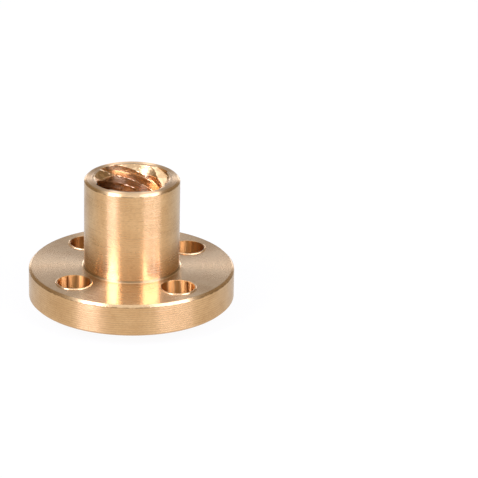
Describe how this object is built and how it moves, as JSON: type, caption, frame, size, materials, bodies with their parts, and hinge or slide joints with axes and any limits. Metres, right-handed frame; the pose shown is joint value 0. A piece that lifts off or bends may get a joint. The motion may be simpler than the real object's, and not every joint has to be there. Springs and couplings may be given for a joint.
{
  "type": "lead screw nut",
  "caption": "Flanged brass nut with a long barrel, a short pilot boss, a multi-start trapezoidal thread and bolt holes round the flange.",
  "frame": {"origin": "middle of the pilot boss's end face, the lowest point of the nut as it stands", "axes": "+Z along the thread axis, from the pilot boss through the flange to the open end of the barrel; +X is 39 degrees clockwise, seen from above, of one bolt hole"},
  "size_m": [0.022, 0.022, 0.015],
  "materials": {
    "brass": "turned, bright, with fine feed marks"
  },
  "bodies": {
    "root": {"nut": "brass"}
  },
  "joints": []
}
